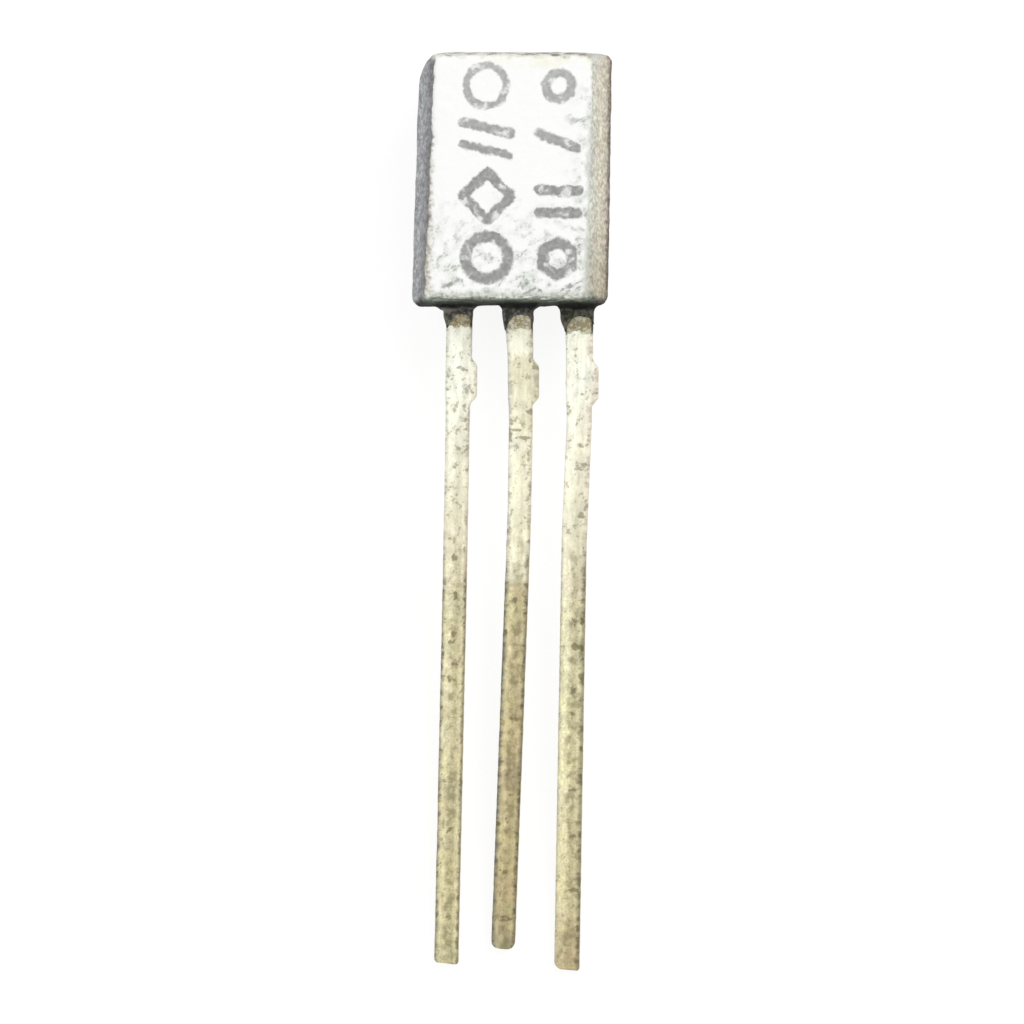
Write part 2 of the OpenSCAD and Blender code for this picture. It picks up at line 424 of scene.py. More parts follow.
def even_skin(shape: bmesh.types.BMesh, grid: float, passes: int) -> bmesh.types.BMesh:
    """Covers a shape with one closed skin of small even faces, and softens its edges.

    Args:
        shape: The shape in millimetres, whose closed parts may overlap. It is freed.
        grid: Size of a face, in millimetres.
        passes: How often the skin is smoothed.

    Returns:
        The new shape.
    """
    rough = bpy.data.meshes.new("rough")
    shape.to_mesh(rough)
    shape.free()
    worker = add_object("rough", rough)
    modifier = worker.modifiers.new("skin", "REMESH")
    modifier.mode = "VOXEL"
    modifier.voxel_size = grid
    graph = bpy.context.evaluated_depsgraph_get()
    even = bpy.data.meshes.new_from_object(worker.evaluated_get(graph))
    bpy.data.objects.remove(worker)
    skin = bmesh.new()
    skin.from_mesh(even)
    axes = {f"use_axis_{axis}": True for axis in "xyz"}
    for _ in range(passes):
        bmesh.ops.smooth_vert(skin, verts=skin.verts, factor=0.5, **axes)
    skin.normal_update()
    return skin


def push_points(shape: bmesh.types.BMesh, height: Callable[[Vector, Vector], float]) -> None:
    """Moves each point along its normal, as a sculptor would.

    Args:
        shape: The shape, in millimetres.
        height: Gives the move in millimetres for a point and its normal.
    """
    moves = [height(vert.co, vert.normal) for vert in shape.verts]
    for vert, move in zip(shape.verts, moves):
        vert.co += vert.normal * move
    shape.normal_update()


@dataclass
class Piece:
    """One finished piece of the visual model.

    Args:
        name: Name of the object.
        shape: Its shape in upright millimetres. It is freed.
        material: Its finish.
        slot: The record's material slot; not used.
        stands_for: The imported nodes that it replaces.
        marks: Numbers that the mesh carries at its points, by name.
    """

    name: str
    shape: bmesh.types.BMesh
    material: bpy.types.Material
    slot: str
    stands_for: tuple[str, ...]
    marks: dict[str, list[float]]

    def place(self, rest: RestPose) -> bpy.types.Object:
        """Lays the piece down in the row frame and hangs it on the body.

        Args:
            rest: The pose that it lies in.

        Returns:
            The new object.
        """
        self.shape.transform(rest.to_row)
        mesh = bpy.data.meshes.new(self.name)
        self.shape.to_mesh(mesh)
        self.shape.free()
        mesh.shade_smooth()
        for name, values in self.marks.items():
            mesh.attributes.new(name, "FLOAT", "POINT").data.foreach_set("value", values)
        mesh.materials.append(self.material)
        piece = add_object(self.name, mesh)
        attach(piece, BODY)
        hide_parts(*self.stands_for)
        LOG.info("%s: %d faces, for %s", self.name, len(mesh.polygons), ", ".join(self.stands_for))
        return piece


# ---- Marking ----


def regular(sides: int, turn: float = 0.0) -> tuple[Span, ...]:
    """A closed stroke round a regular outline of radius 1.

    Args:
        sides: Number of sides.
        turn: Angle of the first corner, in degrees.

    Returns:
        The corners, with the first one again at the end.
    """
    angles = [math.radians(turn + 360 * i / sides) for i in range(sides + 1)]
    return tuple((math.cos(a), math.sin(a)) for a in angles)


class Figure(Enum):
    """The plain figures of the marking, each as one stroke in a square from -1 to 1."""

    RING = regular(20)
    HEXAGON = regular(6, 30.0)
    DIAMOND = regular(4)
    BAR = ((-1.0, 0.0), (1.0, 0.0))


@dataclass(frozen=True)
class Stamp:
    """One figure printed on the flat face.

    Args:
        figure: The figure.
        x: Its middle, across the face.
        y: Its middle, up the face.
        size: Its radius.
        turn: The angle that it is turned by, in degrees.
        worn: How much of the stroke's width has worn away.
    """

    figure: Figure
    x: float
    y: float
    size: float
    turn: float = 0.0
    worn: float = 0.0

    def path(self) -> list[Vector]:
        """Lays out its stroke.

        Returns:
            The stroke's corners on the face.
        """
        middle = Vector((self.x, self.y))
        spin = Matrix.Rotation(math.radians(self.turn), 2)
        return [middle + spin @ Vector(corner) * self.size for corner in self.figure.value]


@dataclass
class Marking:
    """The worn print on the flat face: two columns of plain figures.

    Args:
        stroke: Width of a stroke.
        far: The longest distance from the ink that is told apart.
        near: How far away a figure's first corner may be for the figure to be measured.
        stamps: The figures, each column from the top down.
    """

    stroke: float = 0.23
    far: float = 0.4
    near: float = 1.5
    stamps: tuple[Stamp, ...] = (
        Stamp(Figure.RING, -0.53, 4.58, 0.42, worn=0.07),
        Stamp(Figure.BAR, -0.5, 3.7, 0.5, turn=-12.0, worn=0.02),
        Stamp(Figure.BAR, -0.5, 3.24, 0.5, turn=-12.0, worn=0.04),
        Stamp(Figure.DIAMOND, -0.48, 2.27, 0.5, worn=0.01),
        Stamp(Figure.RING, -0.46, 0.98, 0.45),
        Stamp(Figure.RING, 1.0, 4.6, 0.27, worn=0.03),
        Stamp(Figure.BAR, 1.0, 3.45, 0.4, turn=-22.0, worn=0.01),
        Stamp(Figure.BAR, 1.02, 2.4, 0.4),
        Stamp(Figure.BAR, 1.02, 1.94, 0.4),
        Stamp(Figure.HEXAGON, 1.02, 0.98, 0.35),
    )

    def __post_init__(self) -> None:
        """Works out each stroke's corners once."""
        self.strokes = [(stamp.path(), stamp.worn) for stamp in self.stamps]

    @staticmethod
    def off_line(point: Vector, start: Vector, end: Vector) -> float:
        """Measures how far a point is from the straight line between two others.

        Args:
            point: The point.
            start: One end of the line.
            end: Its other end.

        Returns:
            The distance.
        """
        along = end - start
        share = min(max((point - start).dot(along) / along.length_squared, 0.0), 1.0)
        return (point - start - along * share).length

    def gap(self, spot: Vector) -> float:
        """Measures how far a spot on the face is from the ink.

        Args:
            spot: The spot in upright millimetres.

        Returns:
            The distance from the edge of the nearest stroke, below 0 within it.
        """
        point = Vector((spot.x, spot.y))
        nearest = self.far
        for path, worn in self.strokes:
            if (path[0] - point).length > self.near:
                continue
            for start, end in zip(path, path[1:]):
                off = self.off_line(point, start, end)
                nearest = min(nearest, off - self.stroke / 2 + worn / 2)
        return nearest


# ---- Case ----


@dataclass(frozen=True)
class ResinFinish:
    """Grey moulded resin with a worn print; its flat face is painted near white as the glare of
    bright light.

    The shades of a wall run from the parting plane, at 0, to the flat face, at 1.

    Args:
        depth: Distance from the parting plane to the flat face.
        height: Height of the case.
        flat: The flat face's near white, a painted reflection of bright light on glossy resin.
        scuff: Grey-green scuffs on it.
        haze: The haze round them.
        rim: Its lower rim.
        strip: The beige strip along its left edge, where it meets the left wall.
        ink: The print.
        left: The left wall, darker with painted shade.
        right: The right wall, paler with painted light.
        top: The top wall, pale with painted light.
        under: The underside: dark resin, deepened by painted shade to near black towards the
            parting plane.
        back: The round back.
        dash: The dark dashes along the top.
        cream: The flat face's tint below the top.
        painted_shade: What the painted shade on the right lets through.
        collar: The collars' darker and lighter blotches.
        collar_dim: How much darker the right collar is.
        collar_pale: Their few pale patches.
        seam: Brown spots in the collars.
        drawn: How many times longer the walls' grain is along each axis: it is drawn up them.
        finest: The same for the right wall's finest grain.
        sweeps: How much longer the scuffs are than wide, and their angle in degrees.
        draft: How much its upper and lower walls close in, for each millimetre off the
            parting plane.
        top_climb: What each millimetre across adds to a height, to level the tilted upper edge.
        base_climb: The same for the lower edge.
        face_from: The heights over which a wall turns into the flat face.
        top_from: How far below the case's height the top wall begins, and where it is whole.
        gloss: Strength of its shine.
    """

    depth: float = 1.4
    height: float = 5.38
    # Painted reflection: the glare of bright light on the glossy flat face, given as near white.
    flat: Shade = (255, 255, 253)
    scuff: Shade = (160, 163, 154)
    haze: Shade = (226, 229, 223)
    rim: Shade = (208, 212, 202)
    strip: Shade = (206, 202, 190)
    ink: Shade = (160, 160, 159)
    # Painted shade makes the left wall darker, and painted light makes the right wall paler, on
    # one grey resin.
    left: Stops = (
        (0.0, (170, 172, 173)), (0.3, (174, 176, 178)), (0.6, (160, 161, 163)),
        (0.85, (140, 139, 141)), (0.96, (136, 133, 131)), (1.0, (196, 192, 182)),
    )
    right: Stops = (
        (0.0, (104, 97, 88)), (0.1, (150, 142, 130)), (0.2, (205, 197, 180)),
        (0.5, (222, 215, 197)), (0.8, (214, 213, 200)), (1.0, (214, 216, 206)),
    )
    # The top wall is pale with painted light.
    top: Stops = ((0.0, (236, 235, 227)), (0.35, (228, 227, 218)), (1.0, (232, 231, 221)))
    # Dark greenish resin, with painted shade deepening it to near black towards the parting plane,
    # where it faces down.
    under: Stops = (
        (0.0, (8, 9, 7)), (0.12, (13, 14, 11)), (0.3, (28, 31, 26)), (0.6, (76, 82, 71)),
        (0.8, (124, 132, 118)), (0.9, (172, 179, 166)), (1.0, (208, 214, 203)),
    )
    back: Shade = (150, 151, 153)
    dash: Shade = (146, 143, 134)
    cream: Shade = (250, 248, 228)
    # Painted shade, over the right side's lower part and its upper corner.
    painted_shade: Shade = (218, 214, 206)
    collar: tuple[Shade, Shade] = ((56, 56, 50), (126, 125, 117))
    collar_dim: Shade = (198, 200, 184)
    collar_pale: Shade = (142, 140, 136)
    seam: Shade = (92, 78, 60)
    drawn: tuple[float, float, float] = (1.0, 1.0, 2.2)
    finest: tuple[float, float, float] = (1.0, 1.5, 2.8)
    sweeps: tuple[Span, Span] = ((2.7, 30.0), (2.0, 58.0))
    draft: float = 0.096
    top_climb: float = -0.012
    base_climb: float = -0.018
    face_from: Span = (1.28, 1.36)
    top_from: Span = (0.15, 0.07)
    gloss: float = 0.25

    def material(self, rest: RestPose) -> bpy.types.Material:
        """Writes the material.

        Args:
            rest: The pose that the case lies in.

        Returns:
            The material.
        """
        r = ResinRecipe(rest, self)
        rise = r.swing(r.z, (r.fine, 0.14), (r.medium, 0.12))
        colour = r.mix(r.mask(rise, *self.face_from), self.walls(r), self.face(r))
        colour = self.shaded(r, colour)
        colour = r.mix(self.lowest(r), colour, self.below(r))
        colour = r.mix(self.printed(r), colour, r.blotted(self.ink, (r.fine, 0.3)))
        r.relief(r.line(r.fine, 0.6, r.times(r.medium, 0.7)), 0.03, 0.45)
        r.shader.inputs["Specular IOR Level"].default_value = self.gloss
        return r.finish(colour, r.mask(r.medium, -0.9, 1.0))

    def face(self, r: "ResinRecipe") -> Source:
        """The flat face: clean at its upper left, scuffed and rimmed at its other edges.

        Args:
            r: The recipe.

        Returns:
            Its colour.
        """
        rim = r.blotted(self.rim, (r.fine, 0.4))
        beside = r.mask(r.swing(r.x, (r.coarse, 0.5), (r.fine, 0.3)), 1.52, 1.64)
        beside = r.times(beside, r.mask(r.swing(r.y, (r.coarse, 1.0)), 4.2, 3.4))
        colour = r.mix(r.times(beside, 0.8), self.scuffed(r), rim)
        # A beige strip along the face's left edge, fading out towards the lower edge.
        worn = r.mask(r.swing(r.x, (r.fine, 0.2), (r.medium, 0.12)), -1.57, -1.72)
        worn = r.times(worn, r.mask(r.y, 4.8, 2.2))
        colour = r.mix(worn, colour, r.blotted(self.strip, (r.fine, 0.6)))
        colour = self.topped(r, colour)
        lower = r.line(r.x, self.base_climb, r.y)
        lower = r.mask(r.swing(lower, (r.medium, 0.24), (r.fine, 0.14)), 0.34, 0.14)
        return r.mix(lower, colour, rim)

    def scuffed(self, r: "ResinRecipe") -> Source:
        """The face's painted glare, with its slanting scuffs and the haze round them.

        Args:
            r: The recipe.

        Returns:
            Its colour.
        """
        right = r.mask(r.swing(r.x, (r.coarse, 0.9)), 1.1, 1.62)
        right = r.times(right, r.mask(r.y, 5.0, 3.6))
        dirt = r.higher(r.mask(r.swing(r.y, (r.coarse, 2.6)), 2.6, 0.4), right)
        swept, steep = (
            r.mask(r.grain(9.0, 3.5, (long, 1.0, 1.0), turn), 0.54, 0.66)
            for long, turn in self.sweeps
        )
        strokes = r.mask(r.swing(r.medium, (r.coarse, 0.8)), 0.42, 0.62)
        strokes = r.times(r.higher(swept, steep), strokes)
        spots = r.times(r.mask(r.swing(r.fine, (r.medium, 0.9)), 0.6, 0.76), 0.6)
        hazy = r.times(dirt, r.mask(r.medium, 0.4, 0.7))
        marks = r.times(r.higher(strokes, spots), dirt)
        # The near-white flat shade is a painted reflection, with the real scuffs and haze laid
        # over it.
        colour = r.mix(marks, r.mix(hazy, self.flat, self.haze), self.scuff)
        return r.mix(r.times(dirt, 0.5), colour, r.tinged(colour, 3.0, 0.2))

    def topped(self, r: "ResinRecipe", colour: Source) -> Source:
        """Adds the cream tint, the rim and the dashes along the face's upper edge.

        Args:
            r: The recipe.
            colour: The face.

        Returns:
            The face with its upper edge.
        """
        ragged = r.swing(r.upper, (r.medium, 0.3), (r.fine, 0.2))
        creamy = r.mask(r.swing(r.upper, (r.medium, 0.9)), 4.96, 5.26)
        creamy = r.times(creamy, r.mask(r.x, -1.2, 0.2))
        colour = r.mix(r.times(creamy, 0.8), colour, self.cream)
        colour = r.mix(r.times(r.mask(ragged, 5.14, 5.26), 0.6), colour, self.rim)
        return r.mix(r.times(self.dashes(r), r.mask(ragged, 5.22, 5.3)), colour, self.dash)

    def dashes(self, r: "ResinRecipe") -> Socket:
        """Where the dark dashes along the top are, which are stronger on its right half.

        Args:
            r: The recipe.

        Returns:
            Their mask.
        """
        long = r.line(r.mask(r.x, -1.4, 1.0), 0.05, r.grain(4.6, 3.0, (1.3, 3.0, 1.6)))
        return r.times(r.mask(long, 0.48, 0.57), r.line(r.mask(r.x, -1.4, 0.4), 0.2, 0.8))

    def shaded(self, r: "ResinRecipe", colour: Source) -> Source:
        """Adds painted shade on the right: darker towards the lower edge, and along the upper
        corner.

        Args:
            r: The recipe.
            colour: The resin.

        Returns:
            The resin with its painted shade.
        """
        low = r.mask(r.swing(r.y, (r.coarse, 1.2)), 2.2, 0.0)
        low = r.times(r.mask(r.x, 1.5, 1.75), low)
        corner = r.mask(r.swing(r.upper, (r.fine, 0.24)), 5.14, 5.34)
        corner = r.times(r.times(r.mask(r.x, 1.2, 1.7), corner), 0.7)
        # Painted shade: darker towards the lower right, and along the upper right corner.
        return r.mix(r.higher(low, corner), colour, self.painted_shade, "MULTIPLY")

    def walls(self, r: "ResinRecipe") -> Source:
        """The side walls, the top and the back; the walls carry painted light and shade, and the
        back is plain grey.

        Args:
            r: The recipe.

        Returns:
            Their colour.
        """
        on_right = r.mask(r.x, 0.8, 1.2)
        left = r.blotted(r.ramp(r.out, self.left), (r.drawn, 0.38), (r.drawn_fine, 0.38))
        finest = r.grain(18.0, 3.0, self.finest)
        right = r.blotted(r.ramp(r.out, self.right), (r.drawn, 0.15), (finest, 0.42))
        dashes = r.times(r.mask(r.out, 0.08, 0.45), r.mask(r.x, 1.75, 1.5))
        dashes = r.times(self.dashes(r), dashes)
        top = r.mix(dashes, r.ramp(r.out, self.top), self.dash)
        start, whole = self.top_from
        high = r.line(r.away(r.z), self.draft, r.upper)
        on_top = r.mask(high, self.height - start, self.height - whole)
        ends = r.mask(r.swing(r.x, (r.drawn, 0.3)), 2.0, 1.85)
        ends = r.times(r.mask(r.x, -1.8, -1.6), ends)
        # Painted light and shade: the left wall darker, the right and top walls paler.
        colour = r.mix(r.times(on_top, ends), r.mix(on_right, left, right), top)
        tint = r.line(on_right, 0.06, 0.08)
        colour = r.tinged(r.blotted(colour, (r.drawn_fine, 0.15)), 3.0, tint)
        back = r.blotted(self.back, (r.grain(3.5, 4.0), 0.14), (r.grain(15.0, 3.0), 0.2))
        behind = r.mask(r.swing(r.z, (r.grain(2.0, 3.0), 0.5)), 0.0, -0.35)
        behind = r.higher(behind, r.mask(r.z, -0.45, -0.75))
        return r.mix(r.times(behind, r.mask(r.z, 0.0, -0.15)), colour, back)

    def lowest(self, r: "ResinRecipe") -> Socket:
        """Where the underside and the collars are: below the drafted lower walls' upper edge.

        Args:
            r: The recipe.

        Returns:
            Their mask.
        """
        wall = r.times(r.away(r.z), self.draft)
        above = r.calc("SUBTRACT", r.line(r.x, self.base_climb, r.y), wall)
        soft = r.line(r.mask(r.away(r.x), 1.62, 1.75), 0.1, 0.06)
        return r.mask(r.swing(above, (r.medium, 0.1)), soft, 0.01)

    def below(self, r: "ResinRecipe") -> Source:
        """The underside's greenish grey, deepened by painted shade to near black, with the
        collars.

        Args:
            r: The recipe.

        Returns:
            Its colour.
        """
        smear = r.grain(6.0, 3.0, (2.4, 1.0, 2.0))
        # The underside's ramp carries painted shade, darkest at the parting plane.
        colour = r.blotted(r.ramp(r.out, self.under), (r.fine, 1.0), (smear, 0.9))
        collar = r.mix(r.mask(r.swing(r.fine, (r.medium, 0.6)), 0.34, 0.68), *self.collar)
        patch = r.mask(r.grain(4.2, 3.0), 0.55, 0.68)
        collar = r.mix(r.times(patch, 0.75), collar, self.collar_pale)
        collar = r.mix(r.mask(r.x, 0.6, 1.1), collar, self.collar_dim, "MULTIPLY")
        colour = r.mix(r.mask(r.swing(r.y, (r.medium, 0.1)), -0.02, -0.1), colour, collar)
        browned = r.mask(r.swing(r.y, (r.fine, 0.2)), -0.05, -0.2)
        browned = r.times(r.mask(r.medium, 0.5, 0.64), browned)
        return r.tinged(r.mix(r.times(browned, 0.5), colour, self.seam), 5.0, 0.16)

    def printed(self, r: "ResinRecipe") -> Socket:
        """Where ink is left on the face.

        Args:
            r: The recipe.

        Returns:
            The mask of the ink.
        """
        gap = r.swing(r.attribute("ink"), (r.medium, 0.16), (r.fine, 0.08))
        kept = r.mask(r.swing(r.medium, (r.grain(2.1), 0.5)), 0.28, 0.46)
        inked = r.times(r.mask(gap, 0.03, -0.03), r.line(kept, 0.75, 0.25))
        return r.times(inked, r.line(r.mask(r.y, 5.0, 2.2), 0.2, 0.8))


class ResinRecipe(Recipe):
    """The resin's recipe, with the noises and measures that several of its parts use."""

    def __init__(self, rest: RestPose, resin: ResinFinish) -> None:
        """Starts the resin.

        Args:
            rest: The pose that the case lies in.
            resin: The finish, which holds the sizes.
        """
        super().__init__("moulded_resin", rest)
        self.coarse = self.grain(1.7, 3.0)
        self.medium = self.grain(4.5, 4.0)
        self.fine = self.grain(11.0, 3.0)
        self.drawn = self.grain(5.5, 4.0, resin.drawn)
        self.drawn_fine = self.grain(13.0, 3.0, resin.drawn)
        # From 0 at the parting plane to 1 at the flat face.
        out = self.swing(self.z, (self.drawn_fine, 0.25), (self.drawn, 0.25))
        self.out = self.calc("DIVIDE", out, resin.depth)
        # Height up the case, with its tilted upper edge and sunken right corner made level.
        sunk = self.line(self.mask(self.x, 1.1, 1.95), 0.06, self.y)
        self.upper = self.line(self.x, resin.top_climb, sunk)


@dataclass(frozen=True)
class Collar:
    """The end of one resin collar, which rises in an arch between its two edges.

    Args:
        crest: Where it is shortest, across the face.
        left: Its left edge, across the face.
        right: Its right edge.
        left_end: How far it reaches down at its left edge.
        right_end: The same at its right edge.
        short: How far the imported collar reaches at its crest.
        pull: How far its left edge is carried to the right at its top, middle and end, then its
            right edge.
        arch: How far it is to reach at its crest.
        round: How round the arch is.
        levels: The heights that a pull's three moves are given at.
        root: The height at which the moves are whole.
    """

    crest: float
    left: float
    right: float
    left_end: float
    right_end: float
    short: float
    pull: Pull
    arch: float = 0.2
    round: float = 3.5
    levels: tuple[float, float, float] = (-0.04, -0.25, -0.48)
    root: float = -0.1

    @classmethod
    def from_corners(cls, near: Sequence[Vector], pull: Pull) -> "Collar":
        """Measures a packed collar.

        Args:
            near: The collar's corners.
            pull: How far its edges are carried.

        Returns:
            The collar's end.
        """
        lowest, crest_below, aside = -0.35, -0.22, 0.1
        ends = sorted({round(p.x, 3) for p in near if p.y < lowest})
        gaps = zip(ends, ends[1:])
        middle = max((after - before, (after + before) / 2) for before, after in gaps)[1]
        return cls(
            middle + aside,
            ends[0],
            ends[-1],
            -min(p.y for p in near if p.x < middle),
            -min(p.y for p in near if p.x > middle),
            min(-p.y for p in near if p.y < crest_below),
            pull,
        )

    def arched(self, point: Vector) -> Vector:
        """Where a point of the collar goes as its straight end becomes an arch.

        Args:
            point: The point.

        Returns:
            The new place.
        """
        on_left = point.x < self.crest
        edge, end = (self.left, self.left_end) if on_left else (self.right, self.right_end)
        share = min(abs(point.x - self.crest) / abs(edge - self.crest), 1.0)
        straight = self.short + (end - self.short) * share
        arch = self.arch + (end - self.arch) * share**self.round
        upper, middle, lower = self.pull[0 if on_left else 1]
        top, half, foot = self.levels
        aside = upper + (middle - upper) * ease(point.y, top, half)
        aside += (lower - middle) * ease(point.y, half, foot)
        aside *= share * ease(point.y, 0.0, self.root)
        return Vector((point.x + aside, point.y * arch / straight, point.z))


@dataclass
class CaseMoulding:
    """The resin moulding: the block and its three collars, with worn edges and a print.

    The leads pass through the collars, so the skin closes round them.

    Args:
        rest: The pose that the case lies in.
        finish: Its resin.
        marking: Its print.
        grid: Size of a face of its skin.
        passes: How often the skin is smoothed.
        skim: How far below the flat face the print is still measured.
        collar_top: Height of the highest of a collar's own corners that are wrapped.
        collar_root: How far a collar is rooted in the block.
        channel: Half the depth of the channels that the leads pass through.
        seam: How near the parting plane a corner counts as on it.
        above: Height above which every corner is the block's own.
        slack: How far below the block's lower edge a corner may lie and still be the block's.
        overlap: How far the two halves of a collar reach past its crest.
        flare_rise: Height of a flare's widest corner.
        tilt: How much the case's lower and upper edges climb to the right.
        lean: How far its left side leans, at the top and at the bottom.
        sag: How far its upper edge sinks towards the right corner.
        corner: How much further it sinks at that corner.
        necks: Each lead, with the flares at its collar's root and the pull of its edges, left and
            right.
        reach: Half the width that is searched for a collar's corners.
        spread: How much further left the flat face reaches at its lower end.
        swells: Where the lower edge swells down, with half the width and the depth of each.
        waves: Features in a millimetre and depth of its broad unevenness.
        grit: The same for its fine unevenness.
        chips: The same for the chips towards its lower edge.
        bites: The same for the bites out of the flat face's edges.
        chips_at: Where in the noise the chips are read.
        bites_at: Where in the noise the bites are read.
        loss: How much it has worn down all over.
        collars: The ends of the collars, left to right.
    """

    rest: RestPose
    finish: ResinFinish = field(default_factory=ResinFinish)
    marking: Marking = field(default_factory=Marking)
    grid: float = 0.036
    passes: int = 3
    skim: float = 0.12
    collar_top: float = -0.03
    collar_root: float = 0.3
    channel: float = 0.4
    seam: float = 0.001
    above: float = 0.2
    slack: float = 0.005
    overlap: float = 0.01
    flare_rise: float = 0.02
    tilt: Span = (0.018, 0.012)
    lean: float = 0.048
    sag: float = 0.04
    corner: float = 0.045
    necks: tuple[tuple[str, Span, Pull], ...] = (
        ("collector_lead", (0.1, 0.035), ((0.044, 0.03, 0.055), (-0.045, -0.038, -0.045))),
        ("base_lead", (0.02, 0.08), ((0.03, 0.004, 0.008), (-0.05, -0.026, -0.016))),
        ("emitter_lead", (0.08, 0.055), ((-0.005, -0.037, 0.004), (-0.034, -0.026, 0.024))),
    )
    reach: float = 0.5
    spread: float = 0.03
    swells: tuple[tuple[float, float, float], ...] = ((-1.76, 0.3, 0.016), (0.85, 0.42, 0.022))
    waves: Span = (1.7, 0.012)
    grit: Span = (5.0, 0.008)
    chips: Span = (2.6, 0.022)
    bites: Span = (3.4, 0.05)
    chips_at: tuple[float, float, float] = (7.0, 3.0, 1.0)
    bites_at: tuple[float, float, float] = (2.0, 9.0, 4.0)
    loss: float = 0.004
    collars: list[Collar] = field(default_factory=list)

    def in_block(self, point: Vector) -> bool:
        """Tells the block's own corners from those of the collars and channels."""
        off_plane = abs(point.z)
        return off_plane < self.seam or off_plane > self.channel or point.y > self.above

    def skin(self) -> bmesh.types.BMesh:
        """Wraps the block and the collars, and covers them with one even skin.

        A collar is wrapped in two halves, because its lower end is hollowed towards its middle.

        Returns:
            The closed shape.
        """
        packed = upright_copy("case", self.rest)
        points = [vert.co.copy() for vert in packed.verts]
        packed.free()
        shape = bmesh.new()
        wrap([p for p in points if self.in_block(p) and p.y > -self.slack], shape)
        for lead, gussets, pull in self.necks:
            middle = self.neck_middle(lead)
            near = [p for p in points if p.y < self.collar_top and abs(p.x - middle) < self.reach]
            collar = Collar.from_corners(near, pull)
            self.collars.append(collar)
            for side, gusset in zip((-1, 1), gussets):
                half = [p for p in near if (p.x - collar.crest) * side > -self.overlap]
                wrap(half + [p + Vector((0.0, self.collar_root, 0.0)) for p in half], shape)
                wrap(self.flare(half, side, gusset), shape)
        return even_skin(shape, self.grid, self.passes)

    def flare(self, half: Sequence[Vector], side: int, gusset: float) -> list[Vector]:
        """Lists the corners of the flare at a collar's root.

        Args:
            half: The corners of the collar's half.
            side: 1 for its right half and -1 for its left half.
            gusset: Size of the flare.

        Returns:
            The corners.
        """
        edge = max(p.x * side for p in half) * side
        depth = max(abs(p.z) for p in half)
        widest = (edge + side * gusset, self.flare_rise)
        outline = ((edge, -gusset), widest, (edge, self.collar_root))
        return [Vector((x, y, z)) for x, y in outline for z in (-depth, depth)]

    def neck_middle(self, lead: str) -> float:
        """Finds where a lead leaves the case.

        Args:
            lead: Name of the lead's node.

        Returns:
            Its middle, across the face.
        """
        packed = upright_copy(lead, self.rest)
        across = [vert.co.x for vert in packed.verts if abs(vert.co.y) < 0.01]
        packed.free()
        return (min(across) + max(across)) / 2

    def wear(self, point: Vector, normal: Vector) -> float:
        """How far a point of the skin stands out or has worn away.

        Args:
            point: The point.
            normal: The direction that the skin faces there.

        Returns:
            The move along the normal.
        """
        (wave, tall), (grit, coarse) = self.waves, self.grit
        (chip, chipped), (bite, bitten) = self.chips, self.bites
        broad = noise.noise(point * wave) * tall
        rough = noise.fractal(point * grit, 1.0, 2.0, 3) * coarse
        near_base = ease(point.y, 0.7, 0.0)
        chips = noise.noise(point * chip + Vector(self.chips_at))
        chips = min(chips, 0.0) * chipped * near_base
        on_edge = min(4 * abs(normal.z) * math.hypot(normal.x, normal.y), 1.0)
        on_edge *= ease(point.z, 1.0, 1.3)
        bites = noise.fractal(point * bite + Vector(self.bites_at), 1.0, 2.0, 2)
        bites = min(bites, 0.0) * bitten * on_edge
        return broad + rough + chips + bites - self.loss

    def settle(self, point: Vector) -> Vector:
        """Where the mould's own small error puts a point of the block.

        Args:
            point: The point.

        Returns:
            The new place.
        """
        if point.y < 0.0:
            near = [c for c in self.collars if c.left - 0.1 < point.x < c.right + 0.1]
            point = near[0].arched(point) if near else point
        up = point.y / self.finish.height
        low, high = self.tilt
        climb = (low + (high - low) * up) * point.x * ease(point.y, -0.15, 0.0)
        slip = self.lean * (2 * up - 1) * ease(point.x, -0.8, -1.7) * ease(point.y, -0.1, 0.3)
        spread = self.spread * ease(point.x, -1.2, -1.7)
        slip -= spread * ease(up, 0.6, 0.1) * ease(point.z, 0.2, 1.3)
        sunk = self.sag * ease(point.x, 1.1, 1.9) + self.corner * ease(point.x, 1.8, 2.05)
        sunk *= ease(up, 0.9, 1.0)
        for middle, half, deep in self.swells:
            sunk += deep * ease(abs(point.x - middle), half, 0.15) * ease(up, 0.06, 0.0)
        return point + Vector((slip, climb - sunk, 0.0))

    def build(self) -> bpy.types.Object:
        """Makes the moulding.

        Returns:
            The finished object.
        """
        shape = self.skin()
        push_points(shape, self.wear)
        for vert in shape.verts:
            vert.co = self.settle(vert.co)
        lowest, far = self.finish.depth - self.skim, self.marking.far
        ink = [self.marking.gap(v.co) if v.co.z > lowest else far for v in shape.verts]
        resin = self.finish.material(self.rest)
        moulding = Piece("case_moulding", shape, resin, "resin", ("case",), {"ink": ink})
        return moulding.place(self.rest)


# ---- Leads ----


@dataclass(frozen=True)
class Nick:
    """A dark pit or a cross mark in the face of a lead.

    Args:
        down: Distance below the case.
        across: Place across the lead, from -1 at its left edge to 1 at its right edge.
        long: Half its length along the lead.
        wide: Half its width, as a share of the lead's half width.
        dark: How dark it is, from 0 to 1.
    """

    down: float
    across: float
    long: float
    wide: float
    dark: float

    def at(self, down: float, across: float) -> float:
        """Tells how strongly the nick marks a spot.

        Args:
            down: The spot's distance below the case.
            across: Its place across the lead.

        Returns:
            From 0 to the nick's own darkness.
        """
        reach = math.hypot((down - self.down) / self.long, (across - self.across) / self.wide)
        ragged = noise.noise(Vector((across * 3.0, down * 11.0, self.down))) * 0.9
        return self.dark * ease(reach + ragged, 1.4, 0.4)


